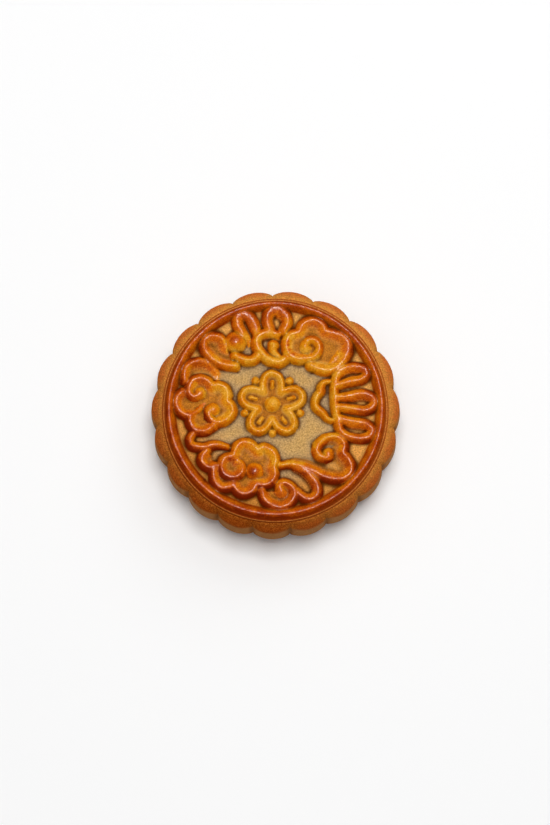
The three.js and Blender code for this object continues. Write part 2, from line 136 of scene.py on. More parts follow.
ROPES = {
    "top_arch": Rope(1.8, [(-1.7, 25.8), (-2.7, 28.7), (-2.5, 31.2), (-0.9, 33), (1.6, 32.8), (3.6, 31),
        (4.1, 28.3), (2.8, 25.7)], slopes=(1, 1.4, 0.95)),
    "side_arch": Rope(1.8, [(-8.6, 20.6), (-9.3, 22.9), (-11.2, 25.6), (-12.4, 27.9), (-12.4, 30.1),
        (-10.9, 31.5), (-8.6, 30.9), (-6.8, 28.6), (-5.9, 25.5)], 0.25, levels=(0.7, 1, 1),
        slopes=(0.6, 1.2, 1.2)),
    "comma": Rope(1.75, [(-16.1, 20.1), (-17.5, 23.2), (-20.6, 24), (-22.7, 23), (-23.2, 20.6),
        (-21.4, 17.5), (-17.7, 15), (-13, 14.2)], 0.5, 1.05),
    "link": Rope(1.85, [(-13, 17.6), (-10.7, 16.5), (-9, 16.1), (-7.1, 16.3), (-5.8, 17.4)]),
    "open_ring": Rope(1.9, [(0.9, 24.7), (-1.4, 25.2), (-3.7, 24.9), (-5.4, 23.9), (-6.1, 22.4),
        (-5.8, 20.4), (-4.6, 18.7), (-2.6, 16.7), (-0.8, 15.8), (1.6, 15.5), (3.2, 16.5)], 0.7,
        levels=(1.08, 1.08, 1.08)),
    "bean": Rope(2, [(-0.5, 21.2), (-0.7, 19.7), (-0.3, 18.6), (1.2, 17.2)], 1, 0.6),
    "cloud_curl": Rope(1.7, [(9.7, 19.7), (9.8, 21.4), (11.2, 22.8), (12.9, 22.6), (14.1, 21.2),
        (14.2, 19.3), (12.9, 17.5), (11.1, 16.7)], 1.1),
    "cloud_left": Rope(1.75, [(11.1, 16.7), (7.1, 16.5), (4.5, 18), (3.5, 21), (4.5, 24.1),
        (7.8, 25.4)]),
    "cloud_top": Rope(1.75, [(7.8, 25.4), (9.1, 28.1), (11.9, 29.2), (14.9, 28.2), (16.3, 25.6)]),
    "cloud_right": Rope(1.75, [(16.3, 25.6), (20.8, 24.5), (23.4, 22.4), (23.8, 19.4), (22, 15.7),
        (19.1, 13.1), (15.7, 12.7), (11.4, 14.4)], slopes=(1, 1.6, 1)),
    "cloud_ridge": Rope(1.2, [(20.4, 21.2), (20.2, 18.6), (19.1, 16.4), (17.4, 14.9), (15, 14.4)], 0.4,
        0.4, levels=(0.7, 0.9, 0.8)),
    "comb_back": Rope(1.65, [(19.3, 8.3), (19.3, 3.3), (19.9, -1.9), (21.1, -7)]),
    "finger_high": Rope(1.65, [(19.7, 7.8), (22.7, 8.6), (25.4, 9.3), (28.1, 9.8), (29.7, 11.4),
        (29.1, 13.2), (26.7, 14), (23.9, 13.9), (21.5, 13), (19.8, 10.9), (19.3, 8.3)],
        slopes=(0.8, 1, 1.1)),
    "finger_middle": Rope(1.65, [(19.3, 4.2), (22.5, 4.2), (26.1, 5), (28.8, 5.2), (31.1, 4.3),
        (32.2, 2.5), (31.5, 0.7), (29.4, -0.4), (26.4, -0.1), (23.1, 0.4), (19.7, 0.8)],
        slopes=(1.1, 1, 0.8)),
    "finger_low": Rope(1.65, [(20.1, -2.6), (22.8, -3.4), (25.5, -4), (28.3, -4.3), (30.5, -5.3),
        (31.5, -7), (30.5, -8.8), (28.3, -9.6), (25.9, -9.4), (23.1, -8.7), (21.1, -7)],
        slopes=(1.1, 1, 0.8)),
    "wavy": Rope(1.5, [(17.2, 9.1), (15.7, 8.7), (14.9, 7.4), (14.7, 5.9), (13.5, 4.2), (13, 2.9),
        (13, 1.2), (13.8, 0.1), (15.4, -1.2), (16.8, -3), (18.2, -3.7)], 0.7, 0.7),
    "scroll": Rope(1.75, [(17.2, -14.2), (17.3, -15.3), (16.1, -15.9), (14.4, -15.2), (13.5, -13.5),
        (14, -11.4), (16.1, -9.5)]),
    "scroll_back": Rope(1.75, [(16.1, -9.5), (18.9, -9), (20.9, -9.6), (22.3, -11.7), (21.8, -14.2)],
        slopes=(0.6, 0.9, 1.1)),
    "tail": Rope(1.8, [(21.8, -14.2), (23.3, -15.9), (24.4, -17.7), (24.5, -19.4), (23.8, -21.1),
        (21.9, -22.4), (19.2, -22.6), (15.7, -21.8), (12, -19.8), (8.8, -18.6), (5.1, -17.8),
        (2, -18.2)], 1, 0.8, slopes=(1.1, 1, 0.5)),
    "strand": Rope(1.7, [(5.2, -18.2), (8.7, -19.5), (11.7, -21.8), (13.5, -24.5), (13.8, -27.2),
        (12, -29.1), (9.6, -29.1), (6.8, -26.9)], 0.7, 0.9, slopes=(0.7, 1, 0.9)),
    "low_curl": Rope(1.7, [(2, -26.9), (1.3, -25.1), (2.4, -24), (4.7, -24.6), (6.1, -26.5),
        (5.9, -28.9), (4.2, -30.9), (1.7, -31.8), (-1.2, -31.1), (-3.4, -29.4), (-4.4, -26.5)]),
    "petal_1": Rope(1.65, [(-13.4, -15.1), (-12.6, -12.4), (-10.3, -10.7), (-7.6, -11.4),
        (-5.6, -13.4)]),
    "petal_2": Rope(1.65, [(-5.6, -13.4), (-4, -12.4), (-1.9, -13), (-0.4, -14.5), (0.2, -16.5),
        (-0.4, -18.8)]),
    "petal_3": Rope(1.65, [(-0.4, -18.8), (-0.1, -21.3), (-1.2, -23.6), (-3.4, -24.6), (-6, -24.3)]),
    "petal_4": Rope(1.7, [(-6, -24.3), (-7.5, -26.6), (-9.9, -27.5), (-12.2, -26.7), (-13.6, -24.6)]),
    "petal_5": Rope(1.7, [(-13.6, -24.6), (-15.4, -25.5), (-17.6, -25.5), (-19, -24.3), (-19.8, -22.7),
        (-20, -20.4), (-19.5, -18.5)]),
    "swirl": Rope(1.65, [(-12, -16.8), (-10.7, -17.9), (-10.6, -19.8), (-11.5, -21.3), (-13.3, -22.2),
        (-15.2, -21.9), (-16.8, -20.7), (-17.4, -18.9), (-17, -16.9), (-15.8, -15.6), (-13.5, -15.1)],
        0.6, levels=(1.05, 1.05, 1.05)),
    "long_hook": Rope(1.8, [(-26.7, -8), (-27.6, -9.8), (-26.8, -11.8), (-25.2, -12.2), (-22.9, -12.4),
        (-20.6, -11.7), (-18.3, -11.6), (-15.7, -12.2)], 0.8, 0.7),
    "short_hook": Rope(1.8, [(-21.8, -13.3), (-23.3, -14.8), (-23.7, -16.4), (-22.9, -18),
        (-21.3, -18.9), (-19.5, -18.5)], 0.8),
    "left_curl_start": Rope(1.75, [(-25, 4.5), (-26.2, 4.1), (-27.6, 5), (-28.1, 7)]),
    "left_curl": Rope(1.75, [(-28.1, 7), (-27.4, 8.4), (-26.1, 9.7), (-24.6, 10.2), (-22.9, 9.9),
        (-21.6, 9.1), (-20.6, 7.5)]),
    "left_lobe": Rope(1.75, [(-20.6, 7.5), (-18.5, 8), (-16.3, 7), (-15.4, 5), (-15.7, 2.9)]),
    "left_hook": Rope(1.75, [(-15.7, 2.9), (-14.3, 1.3), (-13.8, -0.5), (-14.7, -2.3), (-16.4, -3.7),
        (-18.4, -4.3)]),
    "left_hook_end": Rope(1.8, [(-18.4, -4.3), (-20, -3.9), (-21.2, -2.6), (-21.5, -1.1), (-21.2, -0.1),
        (-20.3, 0.2)]),
    "left_outer": Rope(1.75, [(-30.1, 5.6), (-31.6, 4.2), (-32, 1.8), (-31.2, -0.2), (-29.6, -1.6),
        (-27.3, -2)], slopes=(0.85, 0.8, 0.8)),
    "left_rib": Rope(1.1, [(-27.3, -2), (-25.1, -0.4), (-23.2, 1.7), (-21.6, 3.2)], 1, 0.45,
        levels=(0.95, 0.55, 0.25)),
    "left_low": Rope(1.75, [(-27.3, -2), (-27.6, -4.1), (-26.4, -6.2), (-25, -7), (-22.8, -7.1),
        (-20.1, -5.5)], slopes=(0.8, 0.85, 0.9)),
    "left_petal": Rope(1.75, [(-29.3, 9.5), (-29.3, 12.4), (-28.5, 14.1), (-26.9, 15.2), (-24.4, 15.7),
        (-22.1, 15.1), (-20.3, 13.8), (-19.4, 12.2), (-19.2, 10.6)], levels=(1, 1, 0.2),
        slopes=(0.8, 1, 0.7)),
}
HOLLOWS = [
    Hollow(["top_arch"], 0, 2.2), Hollow(["side_arch"], 0, 2.6), Hollow(["comma"], 0.3, 2.7),
    Hollow(["open_ring"], 0, 2), Hollow(["cloud_left", "cloud_top", "cloud_right"], 0.9, 3),
    Hollow(["finger_high"], 0, 2.2), Hollow(["finger_middle"], 0, 2.2),
    Hollow(["finger_low"], 0, 2.2), Hollow(["scroll_back", "tail"], 0.1, 3),
    Hollow(["strand"], 0, 2.4), Hollow(["low_curl"], 0.4, 3), Hollow(["swirl"], 0.8, 2.9),
    Hollow(["petal_1", "petal_2", "petal_3", "petal_4", "petal_5"], 0.5, 3.3),
    Hollow(["left_outer", "left_low", "-left_hook", "-left_lobe", "-left_curl"], 0.6, 3.1),
    Hollow(["left_petal"], 0.1, 2.9), Hollow(["short_hook"], 0.2, 3),
]
BUDS = [
    Bud(-13, 21.9, 3.7, 2.65, 0.4), Bud(17, -14.7, 2.1, 2.3), Bud(1.8, -26.9, 2.2, 2.2),
    Bud(-6.8, -20.4, 3.1, 2.5, 0.4), Bud(9.7, 19.8, 2.2, 2.15), Bud(-24.5, 5.1, 2.3, 2.2, 0.1),
    Bud(-20.2, -0.3, 2.5, 2.3, 0.1),
]
TIP_RADIUS = 1.9
TIP_FLAT = 0.55  # share of the tip's radius that is flat
BUD_ROUNDNESS = 0.6
ROPE_ROUNDNESS = 0.65
NARROWING = 0.6  # how a rope's crest sinks where the rope narrows
CREST_ROUNDING = 0.8
DISH_CURVE = 1.5
LEAN = (0.13, 0.15)  # how much steeper the flanks are to the right and to the back

# The ornament in the middle: a blossom of rope petals with a pip in each, a bead between each
# two, and a button.
BLOSSOM_X = -1
BLOSSOM_Y = 1.6
BLOSSOM_PETALS = 5
PETAL_REACH = 10.3
PETAL_WAIST = 5
PETAL_SPREAD_DEG = 24
PETAL_HALF = 1.25
PETAL_SHOULDER = 0.6  # how far a petal's corners stay inside its reach
PIP_FROM = 5.6
PIP_TO = 7.3
PIP_HALF = 1
PIP_START = 0.7
BEAD_REACH = 9.4
BEAD_RADIUS = 1.35
BEAD_RISE = 1.7
BUTTON_RADIUS = 2.7
BUTTON_RISE = 2.3
BLOSSOM_HOLLOW = Hollow([f"blossom_petal_{i}" for i in range(BLOSSOM_PETALS)], 0.5, 1.8)

# How brown the glaze is, with painted shade and painted light on some flanks and feet.
BROWNING = (15, 38)  # radii between which the glaze goes from golden to brown
GOLDEN_SHIFT = (0.5, 2.1)  # from the cake's middle to the middle of its golden part
CREST_BROWNING = 0.15
FLANK_BROWNING = 0.57  # on the flanks that face outwards
INWARD_GOLD = 0.25  # how much less brown the flanks are that face the middle
STEEP_PAINTED_SHADE = 0.3  # painted shade: deeper orange on the middle's steep flanks
FOOT_PAINTED_SHADE = 0.2  # painted shade: browner low on the ropes, at their feet
TOASTED_FOOT = 1.2  # how much stronger that is on the toasted side
SHADY_PAINTED_SHADE = 0.62  # painted shade: browner on the flanks that face the shady side
SHADY_SHARE = 0.55  # how much of it shows off the toasted side
SHADY_TOASTED = 0.5  # and how much more on it
SHADY_SIDE_DEG = 242
RIM_PAINTED_LIGHT = 0.2  # painted light: how much less brown the rim's inner flank is where it faces left
BUD_GOLD = 0.1
BUD_SHARE = 0.15  # a bud's share of the flanks' browning and painted shade
BUD_EDGE = (-0.2, 0.4)  # where that ends, from the bud's foot
TOASTED_SIDE_DEG = 248  # the side that the oven browned most
TOASTING = 0.23
SPARED_SHADE = 0.8  # share of the painted shade on the shady flanks that the rim is spared
SPARED_TOASTING = 0.7  # and of the toasting
DARKEST = 1.7
DARK_SPOTS = [(4, 22.2, 0.6), (4, 20.8, 0.5), (4.5, 19.2, 0.5), (5.7, 17.7, 0.5),
              (-13.6, 22.4, 1.4), (-6.8, -20.2, 1.5)]  # place and size
DARK_SPOT = 0.8

# Radii, then heights and slopes, between which each of these starts or ends.
GOLDEN_END = (24, 32)
TOASTING_START = (6, 18)
FLANK_START = (12, 24)
SHADY_START = (12, 28)
STEEP_END = (18, 28)
FOOT_START = (14, 24)
CREST_END = (24, 33)  # of the ropes
INWARD_END = (31, 32.5)
OUTWARD_END = (32, 33)
RIM_START = (31.5, 33)
RIM_FLANK_START = (31.5, 32.5)
RIM_FLANK_END = (33.2, 33.7)
RIM_CREST_START = (33.2, 34.2)
RIM_CREST_END = (34.8, 35.2)
UPPER_RIM = (33, 34)
SHINE_END = (35.1, 35.6)
LUMPS_END = (34, 36)
CREST_RISE = (1.5, 2.3)
FOOT_RISE = (0.3, 1.6)
STEEP_TO_LEVEL = (0.55, 0.97)
SHINY_SLOPE = (0.7, 0.97)
FACING_OUT = (0.1, 0.7)
FACING_LEFT = (0.1, 0.6)
FACING_SHADE = (0.08, 0.5)

RIM_DULLING = 0.2  # how much less the rim shines
TIP_SHINE = 4  # how much more a bud's tip does

# The mesh: cells along each side of its square top, which makes 56 columns a scallop, and rows.
GRID = 266
FIELD_SHARE = 0.84  # share of the grid's rings that the field takes
SHELF_ROWS = 12
WALL_ROWS = 10
FOOT_ROWS = 3
UNDERSIDE_ROWS = 1
SAMPLE = 0.15  # spacing of the places worked out on a rope's curve
OUTLINE_STEP = 3  # one such place in three outlines a hollow
RIM_SAMPLE = 0.05
CURVE_STEPS = 40  # places between two given points
CREASE_PASSES = 6  # how widely heights are averaged to find the creases at the ropes' feet, which get painted shade
CREASE_DEPTH = 0.28
HALO_PASSES = 90  # the same, to find the ground close to the ropes, which gets painted shade
HALO_DEPTH = 0.9
TAPER = 5  # length over which a rope tapers to its end
ROPE_REACH = 5.5  # a rope shapes nothing further outside its bounds
WANDER_SIZE = 4
RIM_WANDER_SIZE = 6
LUMP_SIZE = 1.6
BUMP_SIZES = (0.7, 1.6)  # smallest and largest, as shares of the usual size

GRAIN_SIZE = 0.42
GRAIN_DEPTH = 0.07
PATCH_SIZE = 4
DOT_SIZE = 0.6
SPECKLE = [(0.1, (0.48, 0.44, 0.4)), (0.9, (1.42, 1.46, 1.5))]
# Between which distances from the middle, over the crust, the finish changes.
OUTER_GROUND_START = (16, 28)
GROOVE = (35.4, 36.9)
EDGE_START = (35.3, 35.6)
SCALLOPS_START = (35.6, 36)
BROWNED_TIPS_START = (38.4, 41.2)
FINER_GRAIN_START = (41, 43)
SIDE_START = (42, 45.5)
LOWER_EDGE_START = (63, 65)
COLOUR_INPUTS = (0, 6, 7)  # the Mix node's share and its two colours
COLOUR_OUTPUT = 2

FLOOR_HALF = 0.8  # in metres
AIM = (-0.2, 0.145, 20)
# Each light's name, its place and width in metres, and whether the glaze mirrors it.
LIGHTS = [
    ("overhead", (0.05, 0.21, 1.5), 0.5, True),
    ("key", (0.6, 1.1, 1.35), 1.2, True),
    ("ceiling", (0, 0, 1.6), 3, False),
]


def srgb(red, green, blue):
    """A colour of 0 to 255 values as linear light."""
    return tuple(
        value / 255 / 12.92 if value <= 10 else ((value / 255 + 0.055) / 1.055) ** 2.4
        for value in (red, green, blue)
    )


def colour(name, description, value):
    """A colour setting, given as 0 to 255 values."""
    return bpy.props.FloatVectorProperty(
        name=name, description=description, subtype="COLOR", size=3, min=0, max=1, default=srgb(*value)
    )


def number(name, description, value):
    """A setting that is a plain number."""
    return bpy.props.FloatProperty(name=name, description=description, default=value)


def length(name, description, millimetres):
    """A length setting, given in millimetres."""
    return bpy.props.FloatProperty(
        name=name, description=description, unit="LENGTH", precision=5, default=millimetres * MM
    )


class CakeSizes(bpy.types.PropertyGroup):
    """How high the relief stands and how uneven the baking has left it."""

    crest: length("Crest height", "How far a rope's crest stands over the field", 2.3)
    wander: length("Wander", "How far the baked relief strays from its mould", 0.07)
    lumps: length("Lumps", "How uneven the baked surface is", 0.03)
    softness: bpy.props.IntProperty(
        name="Softness", description="How many times the creases are rounded", min=0, default=2
    )


class CrustColours(bpy.types.PropertyGroup):
    """The colours of the baked crust, from the golden middle to the dark rim and the pale side."""

    glaze_gold: colour("Gold", "Glaze on the middle ornament", (226, 160, 46))
    glaze_amber: colour("Amber", "Glaze a little out from the middle", (219, 140, 16))
    glaze_brown: colour("Brown", "Glaze halfway out", (212, 114, 8))
    glaze_chestnut: colour("Chestnut", "Glaze near the rim", (194, 90, 6))
    glaze_dark: colour("Dark", "Dark glaze on the browner side", (164, 63, 5))
    glaze_scorched: colour("Scorched", "Darkest glaze, at the ropes' outer feet", (126, 37, 3))
    dish_floor: colour("Dish floors", "Grainy floors of the petals", (191, 119, 38))
    ground_middle: colour("Middle ground", "Bare ground in the middle", (200, 158, 94))
    ground_edge: colour("Outer ground", "Bare ground near the rim", (230, 165, 82))
    # painted shade: the greyer ground close to the ropes
    painted_ground_shade: colour("Ground by the ropes", "Greyer ground close to the ropes", (166, 140, 104))
    # painted shade: the dark colour put in the creases at the ropes' feet and in the groove's dark line
    crease: colour("Creases", "Dark creases at the foot of the ropes", (76, 32, 2))
    groove: colour("Groove", "Groove at the rim's foot", (164, 78, 26))
    groove_toasted: colour("Toasted groove", "The groove on the browner side", (130, 40, 4))
    # partly painted highlight: the ledge is lighter than the groove beside it
    ledge: colour("Ledge", "Narrow ledge in the groove", (200, 126, 58))
    shelf: colour("Scallops", "Tops of the scallops near the rim", (208, 134, 56))
    shelf_brown: colour("Scallop edges", "Browned outer part of the scallops' tops", (204, 110, 46))
    shelf_toasted: colour("Toasted scallops", "Scallops on the browner side", (142, 60, 4))
    wall: colour("Side", "Paler side", (180, 128, 80))
    notch: colour("Notches", "Notches between the scallops", (130, 74, 30))
    foot: colour("Foot", "Browned lower edge and underside", (170, 98, 40))


class StageSettings(bpy.types.PropertyGroup):
    """Where the camera stands and how bright the soft lights are."""

    elevation: bpy.props.FloatProperty(
        name="Elevation", description="Camera's height over the horizon", subtype="ANGLE",
        default=math.radians(82),
    )
    distance: length("Distance", "From the camera to the top of the cake", 850)
    focal_length: number("Focal length", "The camera's lens, in millimetres", 113.5)
    overhead_power: number("Overhead light", "Power of the softbox overhead, in watts", 14)
    key_power: number("Key light", "Power of the softbox behind, in watts", 4)
    ceiling_power: number("Ceiling light", "Power of the wide soft ceiling, in watts", 13)
    surroundings: number("Surroundings", "How much light the white room gives", 0.13)
    backdrop: number("Backdrop", "How bright the white room itself looks", 0.99)
    floor: colour("Floor", "The pale floor", (249, 249, 249))


def smoothstep(low, high, value):
    """0 below a range, easing to 1 above it."""
    share = np.clip((value - low) / (high - low), 0, 1)
    return share * share * (3 - 2 * share)


def fade(low, high, value):
    """1 below a range, easing to 0 above it."""
    return 1 - smoothstep(low, high, value)


def between(time, start, end, first, second):
    """The place between two others that a time between theirs gives."""
    return (end - time) / (end - start) * first + (time - start) / (end - start) * second


def smooth_curve(points, spacing):
    """Evenly spaced places on a centripetal Catmull-Rom curve through the points."""
    given = np.array(points, float)
    given = np.vstack([2 * given[0] - given[1], given, 2 * given[-1] - given[-2]])
    knots = np.r_[0, np.cumsum(np.linalg.norm(np.diff(given, axis=0), axis=1) ** 0.5)]
    pieces = []
    for i in range(1, len(given) - 2):
        times = knots[i - 1:i + 3]
        places = given[i - 1:i + 3]
        time = np.linspace(times[1], times[2], CURVE_STEPS, endpoint=False)[:, None]
        for span in (1, 2):
            places = [between(time, times[k], times[k + span], *places[k:k + 2]) for k in range(4 - span)]
        pieces.append(between(time, times[1], times[2], *places))
    dense = np.vstack([*pieces, given[-2:-1]])
    along = np.r_[0, np.cumsum(np.linalg.norm(np.diff(dense, axis=0), axis=1))]
    even = np.linspace(0, along[-1], max(2, int(along[-1] / spacing) + 1))
    return np.stack([np.interp(even, along, column) for column in dense.T], axis=1)


def waves(x, y, size, seed, count=24):
    """Gentle uneven ground, mostly between -1 and 1, with bumps of about the size given."""
    random = np.random.default_rng(seed)
    heading = random.uniform(0, 2 * math.pi, count)
    pitch = 2 * math.pi / (size * random.uniform(*BUMP_SIZES, count))
    offset = random.uniform(0, 2 * math.pi, count)
    total = np.zeros_like(x)
    for angle, turn, start in zip(heading, pitch, offset):
        total += np.sin(turn * (x * math.cos(angle) + y * math.sin(angle)) + start)
    return total / math.sqrt(2 * count)


def notch_angle(number):
    """The angle of each numbered notch: they bunch up on one side."""
    even = np.radians(FIRST_NOTCH_DEG + 360 / LOBES * number)
    drift = NOTCH_DRIFT_DEG * np.cos(even - math.radians(NOTCH_DRIFT_TOWARDS_DEG))
    return even + np.radians(NOTCH_LEAD_DEG + drift)


def inside(outline, x, y):
    """Which places lie inside a closed outline."""
    found = np.zeros(x.shape, bool)
    x0, y0 = outline[-1]
    for x1, y1 in outline:
        if y0 != y1:
            crosses = (y0 > y) != (y1 > y)
            found ^= crosses & (x < (x1 - x0) * (y - y0) / (y1 - y0) + x0)
        x0, y0 = x1, y1
    return found


def on_blossom(reach, degrees):
    """A place on the middle ornament."""
    angle = math.radians(degrees)
    return BLOSSOM_X + reach * math.cos(angle), BLOSSOM_Y + reach * math.sin(angle)


def blossom_buds():
    """The middle ornament's button, and the beads between its petals."""
    turns = [90 + (i + 0.5) * 360 / BLOSSOM_PETALS for i in range(BLOSSOM_PETALS)]
    beads = [Bud(*on_blossom(BEAD_REACH, turn), BEAD_RADIUS, BEAD_RISE) for turn in turns]
    return [Bud(BLOSSOM_X, BLOSSOM_Y, BUTTON_RADIUS, BUTTON_RISE), *beads]


def blossom_ropes():
    """The middle ornament's ropes, petal by petal."""
    turn = 360 / BLOSSOM_PETALS
    waisted = (PETAL_WAIST + PETAL_REACH) / 2
    shoulder = PETAL_REACH - PETAL_SHOULDER
    ropes = {}
    for i in range(BLOSSOM_PETALS):
        middle = 90 + i * turn
        between = middle + turn / 2
        ropes[f"blossom_petal_{i}"] = Rope(PETAL_HALF, [
            on_blossom(PETAL_WAIST, between - turn),
            on_blossom(waisted, middle - PETAL_SPREAD_DEG),
            on_blossom(shoulder, middle - PETAL_SPREAD_DEG / 2),
            on_blossom(PETAL_REACH, middle),
            on_blossom(shoulder, middle + PETAL_SPREAD_DEG / 2),
            on_blossom(waisted, middle + PETAL_SPREAD_DEG),
            on_blossom(PETAL_WAIST, between),
        ])
        pip = [on_blossom(PIP_FROM, middle), on_blossom(PIP_TO, middle)]
        ropes[f"blossom_pip_{i}"] = Rope(PIP_HALF, pip, PIP_START)
    return ropes


def rope_back(distance, half):
    """The rounded back of a rope across its width: 1 on its crest, 0 at its foot."""
    return np.clip(1 - (distance / half) ** 2, 0, None) ** ROPE_ROUNDNESS


def outline_of(names, lines):
    """The closed outline that a hollow's ropes make along their crests."""
    lengths = []
    for name in names:
        line = lines[name.lstrip("-")]
        lengths.append(line[::-1] if name.startswith("-") else line)
    return np.vstack(lengths)[::OUTLINE_STEP]


def dish_slope(distance, width):
    """The slope from a dish's frame down to its floor: 1 on the crest, 0 on the floor."""
    fallen = np.hypot(distance, CREST_ROUNDING) - CREST_ROUNDING
    return np.clip(1 - fallen / width, 0, None) ** DISH_CURVE


def relief(x, y, crest_height):
    """How far the relief stands over the field, and how far each place lies down a dish's slope."""
    ropes = {**ROPES, **blossom_ropes()}
    lines = {name: smooth_curve(rope.path, SAMPLE) for name, rope in ropes.items()}
    framed = {name: [] for name in ropes}
    for hollow in [*HOLLOWS, BLOSSOM_HOLLOW]:
        within = inside(outline_of(hollow.frame, lines), x, y)
        for name in hollow.frame:
            framed[name.lstrip("-")].append((within, hollow))
    height = np.zeros_like(x)
    dished = np.zeros_like(x)
    for name, rope in ropes.items():
        line = lines[name]
        low, high = line.min(0) - ROPE_REACH, line.max(0) + ROPE_REACH
        near = np.flatnonzero((x > low[0]) & (x < high[0]) & (y > low[1]) & (y < high[1]))
        gaps = np.hypot(x[near, None] - line[:, 0], y[near, None] - line[:, 1])
        closest = gaps.argmin(1)
        distance = gaps[np.arange(len(near)), closest]
        along = closest / (len(line) - 1)
        share = 1 - (1 - rope.start) * fade(0, TAPER, closest * SAMPLE)
        share -= (1 - rope.end) * fade(0, TAPER, (len(line) - 1 - closest) * SAMPLE)
        level = np.interp(along, (0, 0.5, 1), rope.levels)
        crest = crest_height * level * share ** NARROWING
        off = np.stack([x[near], y[near]], axis=1) - line[closest]
        upright = 1 - off @ LEAN / np.maximum(distance, SAMPLE)
        back = crest * rope_back(distance, rope.half * share * upright)
        down = np.zeros_like(back)
        for within, hollow in framed[name]:
            width = hollow.slope * np.interp(along, (0, 0.5, 1), rope.slopes) * upright
            up = (dish_slope if hollow.floor else rope_back)(distance, width)
            framing = within[near]
            back = np.where(framing, hollow.floor + (crest - hollow.floor) * up, back)
            down = np.where(framing, 1 - up, down)
        higher = back > height[near]
        height[near] = np.where(higher, back, height[near])
        dished[near] = np.where(higher, down, dished[near])
    for bud in [*BUDS, *blossom_buds()]:
        distance = np.hypot(x - bud.x, y - bud.y)
        dome = bud.rise * np.clip(1 - (distance / bud.radius) ** 2, 0, None) ** BUD_ROUNDNESS
        dome += bud.tip * fade(TIP_RADIUS * TIP_FLAT, TIP_RADIUS, distance)
        dished[dome > height] = 0
        height = np.maximum(height, dome)
    return height, dished


def soften(heights, passes):
    """Rounds the creases of a square table of heights."""
    for _ in range(passes):
        for axis in (0, 1):
            ahead = np.roll(heights, 1, axis)
            behind = np.roll(heights, -1, axis)
            heights = (ahead + 2 * heights + behind) / 4
    return heights


def crust_sheet():
    """A square grid, and rows extruded from its edge down to a cap: z is minus a row's number."""
    bm = bmesh.new()
    bmesh.ops.create_grid(bm, x_segments=GRID, y_segments=GRID, size=1)
    edge = [side for side in bm.edges if side.is_boundary]
    for _ in range(SHELF_ROWS + WALL_ROWS + FOOT_ROWS + UNDERSIDE_ROWS):
        made = bmesh.ops.extrude_edge_only(bm, edges=edge)["geom"]
        fresh = [item for item in made if isinstance(item, bmesh.types.BMVert)]
        bmesh.ops.translate(bm, verts=fresh, vec=(0, 0, -1))
        edge = [item for item in made if isinstance(item, bmesh.types.BMEdge) and item.is_boundary]
    cap = bmesh.ops.edgeloop_fill(bm, edges=edge)["faces"]
    bmesh.ops.poke(bm, faces=cap)
    bmesh.ops.recalc_face_normals(bm, faces=bm.faces)
    for face in bm.faces:
        face.smooth = True
    mesh = bpy.data.meshes.new(PIECE)
    bm.to_mesh(mesh)
    bm.free()
    return mesh


def round_out(u, v):
    """The angle and the ring, 0 in the middle to 1 at the edge, of each place in a square grid."""
    ring = np.maximum(np.abs(u), np.abs(v))
    sideways = np.abs(u) > np.abs(v)
    major = np.where(sideways, u, v)
    minor = np.where(sideways, v, u)
    turn = math.pi / 4 * np.divide(minor, major, out=np.zeros_like(major), where=major != 0)
    upwards = math.pi / 2 - turn + math.pi * (v < 0)
    return np.where(sideways, turn + math.pi * (u < 0), upwards), ring


def scallop_number(angle):
    """Counts scallops round the even spread of the columns: whole numbers are notches."""
    return (angle - math.pi / 2) * LOBES / (2 * math.pi)


def turned_to_notches(angle, ring):
    """Turns the columns, more and more towards the edge, so that one column falls on each notch."""
    numbers = np.arange(-LOBES, LOBES + 1)
    notched = np.interp(scallop_number(angle), numbers, notch_angle(numbers))
    return angle + (notched - angle) * ring ** 2


def shape_top(u, v, sizes):
    """Places the grid as the moulded top, with the values that the finish reads there."""
    angle, ring = round_out(u, v)
    rim_line = smooth_curve(RIM, RIM_SAMPLE)
    radius = np.interp(ring, [0, FIELD_SHARE, 1], [0, FIELD_RADIUS, RIM[-1][0]])
    turned = turned_to_notches(angle, ring)
    past_crest = smoothstep(RIM_CREST, LEDGE_RADIUS, radius)
    x = radius * np.cos(turned) + RIM_SHIFT[0] + (LEDGE_SHIFT[0] - RIM_SHIFT[0]) * past_crest
    y = radius * np.sin(turned) + RIM_SHIFT[1] + (LEDGE_SHIFT[1] - RIM_SHIFT[1]) * past_crest
    wander = sizes.wander / MM
    stray_x = wander * waves(x, y, WANDER_SIZE, seed=11)
    stray_y = wander * waves(x, y, WANDER_SIZE, seed=12)
    raised, dished = relief(x + stray_x, y + stray_y, sizes.crest / MM)
    rim = np.interp(radius, rim_line[:, 0], rim_line[:, 1]) - FIELD
    rim += wander / 2 * waves(x, y, RIM_WANDER_SIZE, seed=13) * smoothstep(*UPPER_RIM, radius)
    rim[radius < FIELD_RADIUS] = 0
    height = np.where(radius < RIM_CREST, np.maximum(raised, rim), rim)
    columns = np.rint((u + 1) / 2 * GRID).astype(int)
    lines = np.rint((v + 1) / 2 * GRID).astype(int)
    table = np.zeros((GRID + 1, GRID + 1))
    table[columns, lines] = height
    height = soften(table, sizes.softness)[columns, lines]
    height += sizes.lumps / MM * waves(x, y, LUMP_SIZE, seed=14) * fade(*LUMPS_END, radius)
    height[ring > 1 - 1 / GRID] = RIM[-1][1] - FIELD
    dished[rim > raised] = 0
    table[columns, lines] = height
    # how deep each place lies in a crease and how close to the ropes, for the painted shade there
    crease = (soften(table, CREASE_PASSES)[columns, lines] - height) / CREASE_DEPTH
    halo = (soften(table, HALO_PASSES)[columns, lines] - height) / HALO_DEPTH
    return {
        "place": np.stack([x, y, FIELD + height], axis=1),
        "rise": height,
        "reach": radius,
        "dished": dished,
        "crease": np.clip(crease, 0, 1),
        "halo": np.clip(halo, 0, 1),
    }


